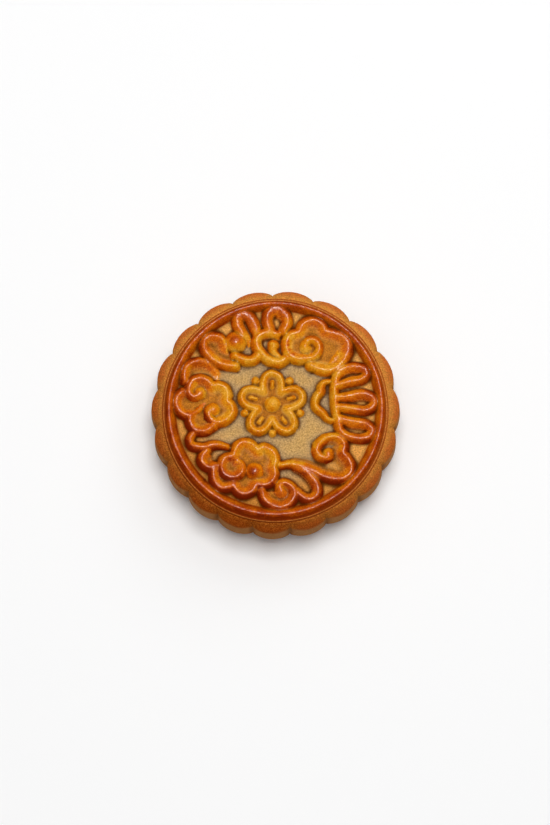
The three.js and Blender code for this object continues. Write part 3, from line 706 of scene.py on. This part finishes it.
def shape_side(u, v, row):
    """Places the rows below the rim as scallops, side and underside, with their values."""
    angle, ring = round_out(u, v)
    turned = turned_to_notches(angle, ring)
    line = smooth_curve(SIDE, RIM_SAMPLE)
    shoulder = np.abs(line[:, 0] - SHOULDER).argmin()
    foot = np.abs(line[:, 0] - FOOT).argmin()
    ends = np.cumsum([0, SHELF_ROWS, WALL_ROWS, FOOT_ROWS])
    at = np.interp(row, ends, [0, shoulder, foot, len(line) - 1])
    travelled = np.r_[0, np.cumsum(np.hypot(*np.diff(line[:, :2], axis=0).T))]
    steps = np.arange(len(line))
    z, tip, notch = (np.interp(at, steps, column) for column in line.T)
    reach = RIM[-1][0] + np.interp(at, steps, travelled)
    fullness = np.abs(np.sin(math.pi * scallop_number(angle))) ** LOBE_ROUNDNESS
    drawn_in = 1 - UNDERSIDE_SHARE * np.clip(row - ends[-1], 0, None) / UNDERSIDE_ROWS
    radius = (notch + (tip - notch) * fullness) * drawn_in * ring
    z -= NOTCH_DIP * (1 - fullness) * np.sin(math.pi * np.clip(row / SHELF_ROWS, 0, 1))
    free = smoothstep(0, SHELF_ROWS / 2, row)
    x = radius * np.cos(turned) + LEDGE_SHIFT[0] * (1 - free)
    y = radius * np.sin(turned) * (1 - (1 - DEPTH_SHARE) * free) + LEDGE_SHIFT[1] * (1 - free)
    notched = np.where(row > ends[-1], 1, fullness)  # the underside has no dark notches
    return {"place": np.stack([x, y, z], axis=1), "reach": reach, "fullness": notched}


def toasting(place):
    """How much of the oven's browner side each place has."""
    angle = np.arctan2(place[:, 1], place[:, 0]) - math.radians(TOASTED_SIDE_DEG)
    return (0.5 + 0.5 * np.cos(angle)) ** 2 * smoothstep(*TOASTING_START, np.hypot(*place[:, :2].T))


def distance_from(place, x, y):
    """How far each place is from a point, seen from above."""
    return np.hypot(place[:, 0] - x, place[:, 1] - y)


def clear_of_buds(place):
    """How far the browning and painted shade of flanks reach: fully off the buds, and little on them."""
    clear = np.ones(len(place))
    for bud in BUDS:
        past_edge = distance_from(place, bud.x, bud.y) - bud.radius
        clear = np.minimum(clear, BUD_SHARE + smoothstep(*BUD_EDGE, past_edge))
    return clear


def baking(place, rise, normal):
    """How brown the glaze is, 0 golden to 1 darkest, from its place, height and slope, with painted shade
    and light on some flanks.
    """
    from_middle = place[:, :2] - RIM_SHIFT
    radius = np.hypot(*from_middle.T)
    outwards = (normal[:, :2] * from_middle).sum(1) / np.maximum(radius, 1)
    shady_side = math.radians(SHADY_SIDE_DEG)
    to_shade = normal[:, :2] @ (math.cos(shady_side), math.sin(shady_side))
    toasted = toasting(place)
    off_bud = clear_of_buds(place)
    off_middle = smoothstep(*FLANK_START, radius)
    on_rim = smoothstep(*RIM_START, radius)

    from_gold = from_middle - np.multiply.outer(fade(*GOLDEN_END, radius), GOLDEN_SHIFT)
    brown = smoothstep(*BROWNING, np.hypot(*from_gold.T))
    rim_crest = smoothstep(*RIM_CREST_START, radius) * fade(*RIM_CREST_END, radius)
    rope_crest = smoothstep(*CREST_RISE, rise) * fade(*CREST_END, radius)
    brown += CREST_BROWNING * (rim_crest + rope_crest)
    # painted shade: the middle's steep flanks are browned to the orange of shaded gold
    brown += STEEP_PAINTED_SHADE * fade(*STEEP_TO_LEVEL, normal[:, 2]) * fade(*STEEP_END, radius)
    outer_flank = smoothstep(*FACING_OUT, outwards) * (1 - smoothstep(*OUTWARD_END, radius) / 2)
    brown += FLANK_BROWNING * outer_flank * off_middle * np.sqrt(off_bud)
    inner_flank = smoothstep(*FACING_OUT, -outwards) * fade(*INWARD_END, radius)
    brown -= INWARD_GOLD * inner_flank * off_middle
    brown -= BUD_GOLD * (1 - off_bud)
    # painted light: the rim's inner flank is lightened where it faces left
    rim_flank = smoothstep(*RIM_FLANK_START, radius) * fade(*RIM_FLANK_END, radius)
    brown -= RIM_PAINTED_LIGHT * smoothstep(*FACING_LEFT, -normal[:, 0]) * rim_flank
    # painted shade: flanks that face the lower left are browned, more on the toasted side
    shady = smoothstep(*FACING_SHADE, to_shade) * smoothstep(*SHADY_START, radius)
    shady *= (1 - SPARED_SHADE * on_rim) * (SHADY_SHARE + SHADY_TOASTED * toasted)
    brown += SHADY_PAINTED_SHADE * shady * off_bud
    # painted shade: browner low on the flanks at the ropes' feet, more so on the toasted side
    foot = fade(*FOOT_RISE, rise) * smoothstep(*FOOT_START, radius)
    brown += FOOT_PAINTED_SHADE * (1 + TOASTED_FOOT * toasted) * foot
    brown += TOASTING * toasted * (1 - SPARED_TOASTING * on_rim)
    for x, y, size in DARK_SPOTS:
        brown += DARK_SPOT * np.exp(-(distance_from(place, x, y) / size) ** 2)
    return brown / DARKEST


def shining(place, reach, brown, normal):
    """How strongly the glaze shines: most on level, browned crests and on the buds' tips."""
    shine = smoothstep(*SHINY_SLOPE, normal[:, 2]) * smoothstep(-1, 1, DARKEST * brown)
    shine *= (1 - RIM_DULLING * smoothstep(*UPPER_RIM, reach)) * fade(*SHINE_END, reach)
    for bud in BUDS:
        off_tip = distance_from(place, bud.x, bud.y) / TIP_RADIUS
        shine *= 1 + TIP_SHINE * bud.tip * np.exp(-off_tip ** 2)
    return shine


def shaped_crust(sizes):
    """The whole cake as one closed mesh, with the attributes that its finish reads."""
    mesh = crust_sheet()
    count = len(mesh.vertices)
    grid = np.empty(count * 3)
    mesh.vertices.foreach_get("co", grid)
    u, v, depth = grid.reshape(-1, 3).T
    row = -depth
    top = row < 0.5
    place = np.empty((count, 3))
    values = {name: np.zeros(count) for name in ("rise", "reach", "dished", "crease", "halo")}
    values["fullness"] = np.ones(count)
    shaped_top = shape_top(u[top], v[top], sizes)
    shaped_side = shape_side(u[~top], v[~top], row[~top])
    for part, shaped in ((top, shaped_top), (~top, shaped_side)):
        place[part] = shaped.pop("place")
        for name, numbers in shaped.items():
            values[name][part] = numbers
    off_middle = (place.min(0) + place.max(0)) / 2 - np.array((CAD_LOW + CAD_HIGH) / 2) / MM
    off_middle[2] = 0
    mesh.vertices.foreach_set("co", ((place - off_middle) * MM).ravel())
    mesh.update()
    normal = np.empty(count * 3)
    mesh.vertex_normals.foreach_get("vector", normal)
    normal = normal.reshape(-1, 3)
    values["toasted"] = toasting(place)
    # brown holds the baking and also the painted shade and light on flanks and feet
    values["brown"] = baking(place, values["rise"], normal)
    values["shine"] = shining(place, values["reach"], values["brown"], normal)
    for name, numbers in values.items():
        mesh.attributes.new(name, "FLOAT", "POINT").data.foreach_set("value", numbers)
    return mesh


# ---------------- the finish


def new_node(tree, kind, label, **values):
    """A labelled shader node, with the named inputs set."""
    node = tree.nodes.new(kind)
    node.label = label
    for name, value in values.items():
        node.inputs[name.replace("_", " ")].default_value = value
    return node


def feed(tree, source, target):
    """Links a socket to an input, or sets the input where the source is a plain value."""
    if isinstance(source, bpy.types.NodeSocket):
        tree.links.new(source, target)
    elif target.type == "RGBA":
        target.default_value = (*source, 1)
    else:
        target.default_value = source


def maths(tree, label, operation, *values):
    """A sum, a product or the like."""
    node = new_node(tree, "ShaderNodeMath", label)
    node.operation = operation
    for value, target in zip(values, node.inputs):
        feed(tree, value, target)
    return node.outputs[0]


def eased(tree, label, value, low, high, to_low=0, to_high=1):
    """The value eased from one range to another, and held at its ends."""
    node = new_node(
        tree, "ShaderNodeMapRange", label, From_Min=low, From_Max=high, To_Min=to_low, To_Max=to_high
    )
    node.interpolation_type = "SMOOTHSTEP"
    feed(tree, value, node.inputs["Value"])
    return node.outputs["Result"]


def mixed(tree, label, share, first, second, blend="MIX"):
    """Two colours mixed by a share."""
    node = new_node(tree, "ShaderNodeMix", label)
    node.data_type = "RGBA"
    node.blend_type = blend
    for value, target in zip((share, first, second), COLOUR_INPUTS):
        feed(tree, value, node.inputs[target])
    return node.outputs[COLOUR_OUTPUT]


def ramp(tree, label, value, stops):
    """A colour for each of a few places between 0 and 1."""
    node = new_node(tree, "ShaderNodeValToRGB", label)
    elements = node.color_ramp.elements
    elements.remove(elements[1])
    for i, (place, shade) in enumerate(stops):
        element = elements.new(place) if i else elements[0]
        element.position = place
        element.color = (*shade, 1)
    feed(tree, value, node.inputs[0])
    return node.outputs[0]


def attribute(tree, name):
    """One of the numbers that the mesh carries at each place."""
    node = new_node(tree, "ShaderNodeAttribute", name)
    node.attribute_name = name
    return node.outputs["Fac"]


def noise(tree, label, place, size, detail):
    """Noise from 0 to 1 with features of a size in millimetres, fixed to the piece."""
    node = new_node(tree, "ShaderNodeTexNoise", label, Scale=1 / (size * MM), Detail=detail, Roughness=0.6)
    feed(tree, place, node.inputs["Vector"])
    return eased(tree, "stronger " + label, node.outputs["Fac"], 0.25, 0.75)


def glaze_colour(tree, colours, brown, patches, grain):
    """Egg glaze, from gold to dark brown as it was baked and where shade is painted, in uneven patches and
    grains.
    """
    patchy = maths(tree, "patchy browning", "MULTIPLY_ADD", patches, 0.36, -0.16)
    grainy = maths(tree, "grainy browning", "MULTIPLY_ADD", grain, -0.18, 0.09)
    browned = maths(tree, "browned", "ADD", maths(tree, "uneven", "ADD", patchy, grainy), brown)
    return ramp(tree, "glaze", browned, [
        (0, colours.glaze_gold), (0.16, colours.glaze_amber), (0.34, colours.glaze_brown),
        (0.55, colours.glaze_chestnut), (0.78, colours.glaze_dark), (1, colours.glaze_scorched),
    ])


def bare_crust(tree, colours, reach, on_floor):
    """The matte, grainy crust of the ground between the ropes and of the petals' floors, with painted
    shade close to the ropes.
    """
    outer = eased(tree, "outer ground", reach, *OUTER_GROUND_START)
    outside = maths(tree, "toasted ground", "MULTIPLY", attribute(tree, "toasted"), 0.8)
    outside = mixed(tree, "ground outside", outside, colours.ground_edge, colours.dish_floor)
    ground = mixed(tree, "ground", outer, colours.ground_middle, outside)
    # painted shade: the ground is greyed close to the ropes, most in the middle
    inner = eased(tree, "inner ground", reach, 28, 18, 0.05, 1)
    greyed = maths(tree, "greyed", "MULTIPLY", attribute(tree, "halo"), inner)
    ground = mixed(tree, "ground by the ropes", greyed, ground, colours.painted_ground_shade)
    return mixed(tree, "bare crust", on_floor, ground, colours.dish_floor)


def edge_colour(tree, colours, reach, fullness, patches, grain):
    """Bands from the rim's groove over the scallops and down the side, darker in the notches, with painted
    shade in the groove, a partly painted highlight on the ledge and partly painted shade on the toasted
    side.
    """
    toasted = maths(tree, "toasted", "MULTIPLY", attribute(tree, "toasted"), 0.9)
    dotted = maths(tree, "dotted", "MULTIPLY_ADD", grain, -0.5, 1.2)
    dotted = maths(tree, "dotted scallops", "MULTIPLY", dotted, toasted)
    shelf = mixed(tree, "scallops", dotted, colours.shelf, colours.shelf_toasted)
    uneven = maths(tree, "uneven", "MULTIPLY_ADD", patches, 1.6, reach)
    uneven = maths(tree, "grainy", "MULTIPLY_ADD", grain, 0.8, uneven)
    outer = eased(tree, "outer part", uneven, *BROWNED_TIPS_START)
    tip = eased(tree, "scallop's tip", fullness, 0.3, 0.9)
    browned = maths(tree, "browned", "MULTIPLY", outer, tip)
    brown = mixed(tree, "browned edges", dotted, colours.shelf_brown, colours.shelf_toasted)
    shelf = mixed(tree, "browned scallops", browned, shelf, brown)
    border = maths(tree, "ragged border", "MULTIPLY_ADD", patches, 1.1, reach)
    on_side = eased(tree, "on the side", border, *SIDE_START)
    low = eased(tree, "low on the side", reach, *LOWER_EDGE_START)
    # the side darkens towards the toasted side: partly toasting, partly painted shade
    slightly = maths(tree, "slightly toasted and shaded", "MULTIPLY", toasted, 0.35)
    side = mixed(tree, "toasted side", slightly, colours.wall, colours.notch)
    side = mixed(tree, "side", low, side, colours.foot)
    notched = eased(tree, "notches", fullness, 0.2, 0.7, 0.5, 0)
    side = mixed(tree, "notched side", notched, side, colours.notch)
    edge = mixed(tree, "edge", on_side, shelf, side)
    start, end = GROOVE
    down = maths(tree, "down the groove", "SUBTRACT", reach, start)
    down = maths(tree, "across the groove", "DIVIDE", down, end - start)
    # the ledge's lighter band is partly a painted highlight on its ridge, kept lighter on the toasted side
    groove = ramp(tree, "groove bands", down, [
        (0, colours.glaze_chestnut), (0.2, colours.groove), (0.36, colours.groove),
        (0.48, colours.ledge), (0.58, colours.ledge), (0.68, colours.groove),
    ])
    off_ledge = eased(tree, "off the ledge", down, 0.36, 0.48, 1, 0.45)
    darker = maths(tree, "toasted off the ledge", "MULTIPLY", toasted, off_ledge)
    groove = mixed(tree, "toasted groove", darker, groove, colours.groove_toasted)
    # painted shade: a dark line in the groove past the ledge, on the toasted side
    past_ledge = eased(tree, "past the ledge", down, 0.56, 0.68, 0, 0.85)
    line = maths(tree, "dark line", "MULTIPLY", toasted, past_ledge)
    groove = mixed(tree, "groove with a dark line", line, groove, colours.crease)
    past_groove = eased(tree, "past the groove", down, 0.8, 1)
    return mixed(tree, "groove and edge", past_groove, groove, edge)


def baked_crust(colours):
    """Glazed relief over matte, grainy ground, with scallops, a paler side and painted shade in the
    creases.
    """
    material = bpy.data.materials.new(SLOT)
    material.use_nodes = True
    tree = material.node_tree
    tree.nodes.clear()
    place = new_node(tree, "ShaderNodeTexCoord", "place").outputs["Object"]
    reach = attribute(tree, "reach")
    grain = noise(tree, "grain", place, GRAIN_SIZE, 3)
    patches = noise(tree, "patches", place, PATCH_SIZE, 3)

    ragged = maths(tree, "ragged glaze line", "MULTIPLY_ADD", grain, 0.3, attribute(tree, "rise"))
    risen = eased(tree, "risen", ragged, 0.22, 0.62)
    on_floor = maths(tree, "ragged floor", "MULTIPLY_ADD", grain, 0.24, attribute(tree, "dished"))
    on_floor = eased(tree, "on a floor", on_floor, 0.5, 1.08)
    off_floor = maths(tree, "off the floors", "SUBTRACT", 1, on_floor)
    glazed = maths(tree, "glazed", "MULTIPLY", risen, off_floor)
    glaze = glaze_colour(tree, colours, attribute(tree, "brown"), patches, grain)
    floored = maths(tree, "floored", "MULTIPLY", risen, on_floor)
    top = mixed(tree, "top", glazed, bare_crust(tree, colours, reach, floored), glaze)
    # painted shade: the creases at the ropes' feet are darkened
    creased = eased(tree, "creased", reach, 8, 22, 0.8, 0.9)
    creased = maths(tree, "in a crease", "MULTIPLY", attribute(tree, "crease"), creased)
    top = mixed(tree, "creased top", creased, top, colours.crease)
    edge = edge_colour(tree, colours, reach, attribute(tree, "fullness"), patches, grain)
    on_edge = eased(tree, "on the edge", reach, *EDGE_START)
    crust = mixed(tree, "crust", on_edge, top, edge)

    bare = maths(tree, "bare", "SUBTRACT", 1, glazed)
    on_scallops = eased(tree, "on the scallops", reach, *SCALLOPS_START)
    matte = maths(tree, "matte", "MAXIMUM", bare, on_scallops)
    coarse = eased(tree, "finer on the side", reach, *FINER_GRAIN_START, 0.65, 0.45)
    on_bare = maths(tree, "more on bare crust", "MULTIPLY_ADD", matte, 0.5, 0.5)
    speckling = maths(tree, "speckling", "MULTIPLY", coarse, on_bare)
    speckle = ramp(tree, "speckle", grain, SPECKLE)
    crust = mixed(tree, "speckled", speckling, crust, speckle, "MULTIPLY")
    tooth = maths(tree, "tooth", "MULTIPLY_ADD", matte, 0.6, 0.4)
    bump = new_node(tree, "ShaderNodeBump", "fine grain", Strength=1, Distance=GRAIN_DEPTH * MM)
    feed(tree, maths(tree, "grain height", "MULTIPLY", grain, tooth), bump.inputs["Height"])

    surface = new_node(
        tree, "ShaderNodeBsdfPrincipled", "crust", IOR=1.45, Specular_IOR_Level=0, Coat_Roughness=0.24
    )
    feed(tree, crust, surface.inputs["Base Color"])
    feed(tree, eased(tree, "roughness", matte, 0, 1, 0.6, 0.9), surface.inputs["Roughness"])
    wash = eased(tree, "washed", matte, 0, 1, 0.65, 0)
    wash = maths(tree, "egg wash", "MULTIPLY", wash, attribute(tree, "shine"))
    dots = noise(tree, "dots", place, DOT_SIZE, 0)
    dots = eased(tree, "strength of the dots", dots, 0.2, 0.8, 0.35, 1.35)
    wash = maths(tree, "dotted wash", "MULTIPLY", wash, dots)
    feed(tree, wash, surface.inputs["Coat Weight"])
    feed(tree, bump.outputs["Normal"], surface.inputs["Normal"])
    output = new_node(tree, "ShaderNodeOutputMaterial", "output")
    feed(tree, surface.outputs[0], output.inputs["Surface"])
    return material


def pale_floor(shade):
    """A plain matte floor."""
    material = bpy.data.materials.new("pale_floor")
    material.use_nodes = True
    surface = material.node_tree.nodes["Principled BSDF"]
    surface.inputs["Base Color"].default_value = (*shade, 1)
    surface.inputs["Roughness"].default_value = 0.9
    surface.inputs["Specular IOR Level"].default_value = 0.1
    return material


# ---------------- the operators


def add_piece(context, name, mesh, material):
    """An object at the origin, unturned and unscaled, whose place is in its mesh."""
    mesh.materials.append(material)
    piece = bpy.data.objects.new(name, mesh)
    context.scene.collection.objects.link(piece)
    return piece


class MOONCAKE_OT_bake(bpy.types.Operator):
    """Builds the moulded, glazed cake in place of its plain solid"""

    bl_idname = "mooncake.bake"
    bl_label = "Bake the cake"

    def execute(self, context):
        scene = context.scene
        mesh = shaped_crust(scene.cake_sizes)
        piece = add_piece(context, PIECE, mesh, baked_crust(scene.crust_colours))
        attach(piece, "root")
        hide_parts(NODE)
        return {"FINISHED"}


class MOONCAKE_OT_set_stage(bpy.types.Operator):
    """Adds the pale floor, the soft lights and the camera"""

    bl_idname = "mooncake.set_stage"
    bl_label = "Set the stage"

    def execute(self, context):
        settings = context.scene.stage_settings
        self.add_floor(context, settings)
        for name, place, size, mirrored in LIGHTS:
            power = getattr(settings, name + "_power")
            self.add_light(context, name, place, size, power, mirrored)
        self.add_surroundings(context, settings)
        self.add_camera(context, settings)
        return {"FINISHED"}

    def add_floor(self, context, settings):
        bm = bmesh.new()
        bmesh.ops.create_grid(bm, x_segments=4, y_segments=4, size=FLOOR_HALF)
        mesh = bpy.data.meshes.new("floor")
        bm.to_mesh(mesh)
        bm.free()
        add_piece(context, "floor", mesh, pale_floor(settings.floor))

    def add_light(self, context, name, place, size, power, mirrored):
        light = bpy.data.lights.new(name, "AREA")
        light.size = size
        light.energy = power
        lamp = bpy.data.objects.new(name, light)
        lamp.location = place
        lamp.visible_camera = False
        lamp.visible_glossy = mirrored
        lamp.rotation_euler = Vector(place).to_track_quat("Z", "Y").to_euler()
        context.scene.collection.objects.link(lamp)

    def add_surroundings(self, context, settings):
        world = bpy.data.worlds.new("white_room")
        world.use_nodes = True
        tree = world.node_tree
        seen = new_node(tree, "ShaderNodeLightPath", "seen directly").outputs["Is Camera Ray"]
        room = tree.nodes["Background"]
        room.inputs["Color"].default_value = (1, 1, 1, 1)
        strength = eased(tree, "room light", seen, 0, 1, settings.surroundings, settings.backdrop)
        tree.links.new(strength, room.inputs["Strength"])
        context.scene.world = world
        context.scene.view_settings.view_transform = "Standard"

    def add_camera(self, context, settings):
        target = Vector(AIM) * MM
        back = Vector((0, -math.cos(settings.elevation), math.sin(settings.elevation)))
        camera = bpy.data.objects.new("camera", bpy.data.cameras.new("camera"))
        camera.data.lens = settings.focal_length
        camera.location = target + settings.distance * back
        camera.rotation_euler = back.to_track_quat("Z", "Y").to_euler()
        context.scene.collection.objects.link(camera)
        context.scene.camera = camera


class MOONCAKE_PT_panel(bpy.types.Panel):
    """Lists the steps that build the cake and its stage"""

    bl_idname = "MOONCAKE_PT_panel"
    bl_label = "Mooncake"
    bl_space_type = "VIEW_3D"
    bl_region_type = "UI"
    bl_category = "Mooncake"

    def draw(self, context):
        groups = {
            MOONCAKE_OT_bake: [context.scene.cake_sizes, context.scene.crust_colours],
            MOONCAKE_OT_set_stage: [context.scene.stage_settings],
        }
        for operator, settings in groups.items():
            box = self.layout.box()
            for group in settings:
                for name in group.__annotations__:
                    box.prop(group, name)
            box.operator(operator.bl_idname)


CLASSES = (
    CakeSizes, CrustColours, StageSettings, MOONCAKE_OT_bake, MOONCAKE_OT_set_stage, MOONCAKE_PT_panel,
)
GROUPS = {"cake_sizes": CakeSizes, "crust_colours": CrustColours, "stage_settings": StageSettings}


def register():
    for cls in CLASSES:
        bpy.utils.register_class(cls)
    for name, group in GROUPS.items():
        setattr(bpy.types.Scene, name, bpy.props.PointerProperty(type=group))


def unregister():
    for name in GROUPS:
        delattr(bpy.types.Scene, name)
    for cls in reversed(CLASSES):
        bpy.utils.unregister_class(cls)


def main():
    register()
    bpy.ops.mooncake.bake()
    bpy.ops.mooncake.set_stage()


if __name__ == "__main__":
    main()
